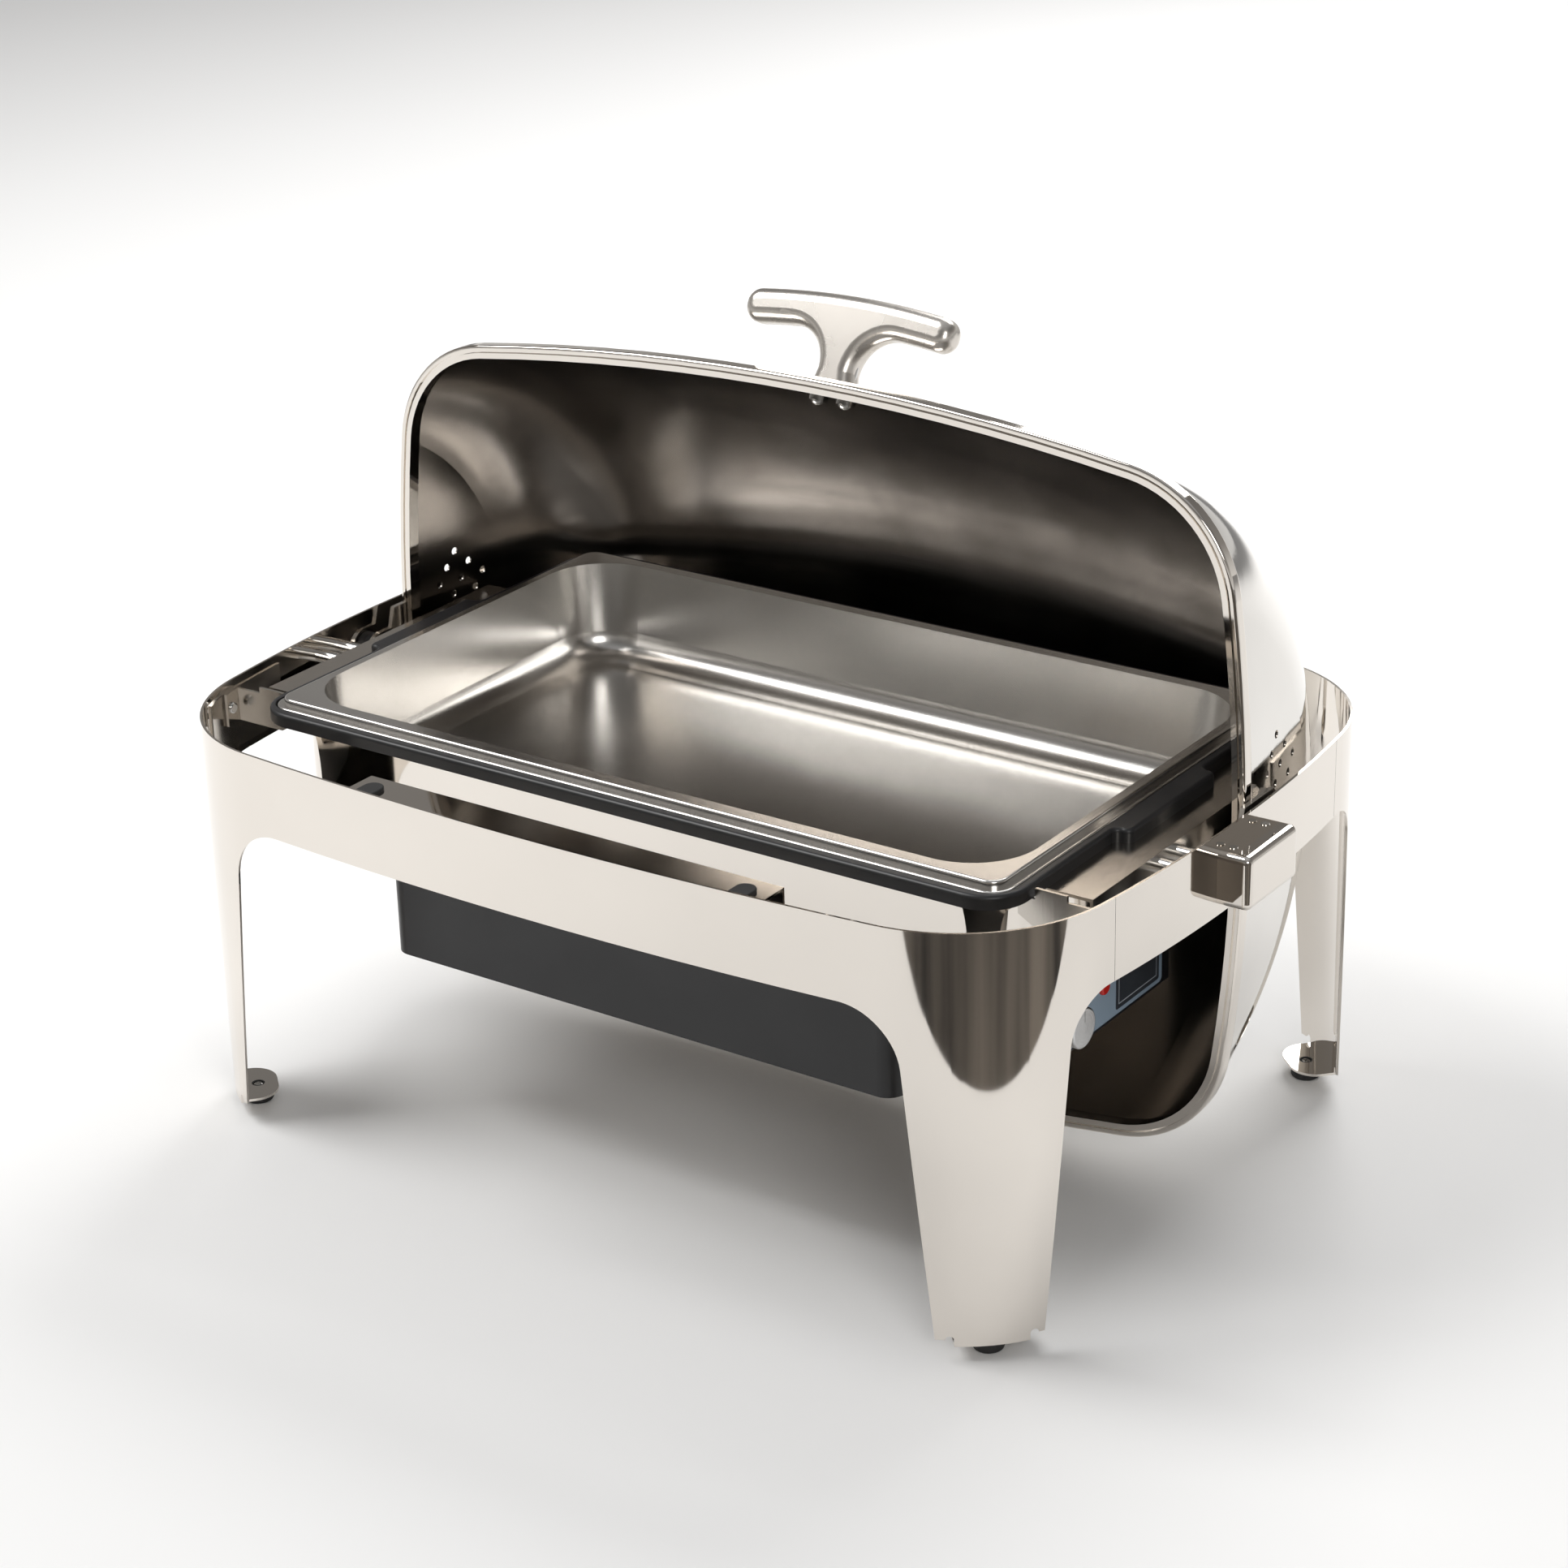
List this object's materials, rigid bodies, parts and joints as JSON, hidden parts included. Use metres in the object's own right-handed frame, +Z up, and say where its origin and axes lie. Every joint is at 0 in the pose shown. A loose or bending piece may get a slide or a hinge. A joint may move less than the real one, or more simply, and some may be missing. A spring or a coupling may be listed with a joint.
{
  "type": "chafing dish",
  "caption": "Rectangular roll-top chafing dish: polished band frame on four legs, domed lid hinged at the ends, lift-out food pan in a water pan with an electric heater and control knob.",
  "frame": {"origin": "on the floor under the middle of the frame", "axes": "+X along the length to the end with the control panel, +Y to the back where the open lid hangs, +Z up"},
  "size_m": [0.6906, 0.4758, 0.496],
  "materials": {
    "polished_steel": "mirror polished stainless steel",
    "lid_steel": "polished outside, satin inside",
    "satin_steel": "satin stainless steel",
    "bracket_steel": "plain rolled stainless steel",
    "bright_fixing": "bright",
    "handle_metal": "polished",
    "black_coating": "satin black",
    "black_rubber": "matt",
    "black_plastic": "matt",
    "panel_grey": "satin blue-grey",
    "label_dark": "satin",
    "lamp_red": "clear red",
    "knob_metal": "spun",
    "plain_aluminium": "mill",
    "heater_steel": "heat darkened"
  },
  "bodies": {
    "frame": {"front_frame": "polished_steel", "rear_frame": "polished_steel", "right_side_band": "polished_steel", "left_side_band": "polished_steel", "corner_joint_plates": "bracket_steel", "rubber_feet": "black_rubber", "foot_screws": "bright_fixing", "lid_shelf": "polished_steel", "shelf_pads": "black_rubber", "corner_brackets": "bracket_steel", "bracket_rivets": "bright_fixing", "side_rail_right": "bracket_steel", "side_rail_left": "bracket_steel", "rail_collars": "bright_fixing", "rail_bolts": "bright_fixing", "hinge_block_right": "bracket_steel", "hinge_block_left": "bracket_steel", "hinge_cover_right": "polished_steel", "hinge_cover_left": "polished_steel", "hinge_bush_right": "black_plastic", "hinge_bush_left": "black_plastic", "cover_screws": "bright_fixing", "open_stops": "bright_fixing"},
    "lid": {"lid_dome": "lid_steel", "lid_rim": "polished_steel", "lid_handle": "handle_metal", "handle_studs": "bright_fixing", "handle_spacers": "black_plastic", "handle_washers": "bright_fixing", "handle_nuts": "bright_fixing", "lid_arm_right": "bracket_steel", "lid_arm_left": "bracket_steel", "lid_axle_right": "bright_fixing", "lid_axle_left": "bright_fixing", "friction_discs": "black_plastic", "spring_washers": "bright_fixing", "axle_nuts": "bright_fixing"},
    "water_pan": {"water_pan": "polished_steel", "water_pan_rim": "black_coating", "heater_housing": "black_coating", "control_box": "black_coating", "base_plate": "bracket_steel", "housing_feet": "black_rubber", "housing_screws": "bright_fixing", "element_plate": "plain_aluminium", "heating_element": "heater_steel", "thermostat": "black_plastic", "thermal_cutout": "black_plastic", "terminal_block": "black_plastic", "control_panel": "panel_grey", "panel_label": "label_dark", "indicator_lamp": "lamp_red", "power_inlet": "black_plastic"},
    "food_pan": {"food_pan": "satin_steel"},
    "knob": {"knob_shaft": "bright_fixing", "control_knob": "black_plastic", "knob_cap": "knob_metal"}
  },
  "joints": [
    {"name": "lid_hinge", "type": "hinge", "parent": "frame", "child": "lid", "pos_m": [0, 0, 0.2363], "axis": [1, 0, 0], "range_deg": [0, 90]},
    {"name": "water_pan_lift", "type": "slide", "parent": "frame", "child": "water_pan", "axis": [0, 0, 1], "range_m": [0, 0.012]},
    {"name": "food_pan_lift", "type": "slide", "parent": "water_pan", "child": "food_pan", "axis": [0, 0, 1], "range_m": [0, 0.012]},
    {"name": "knob_turn", "type": "hinge", "parent": "water_pan", "child": "knob", "pos_m": [0.25, -0.057, 0.136], "axis": [1, 0, 0], "range_deg": [0, 270]}
  ]
}
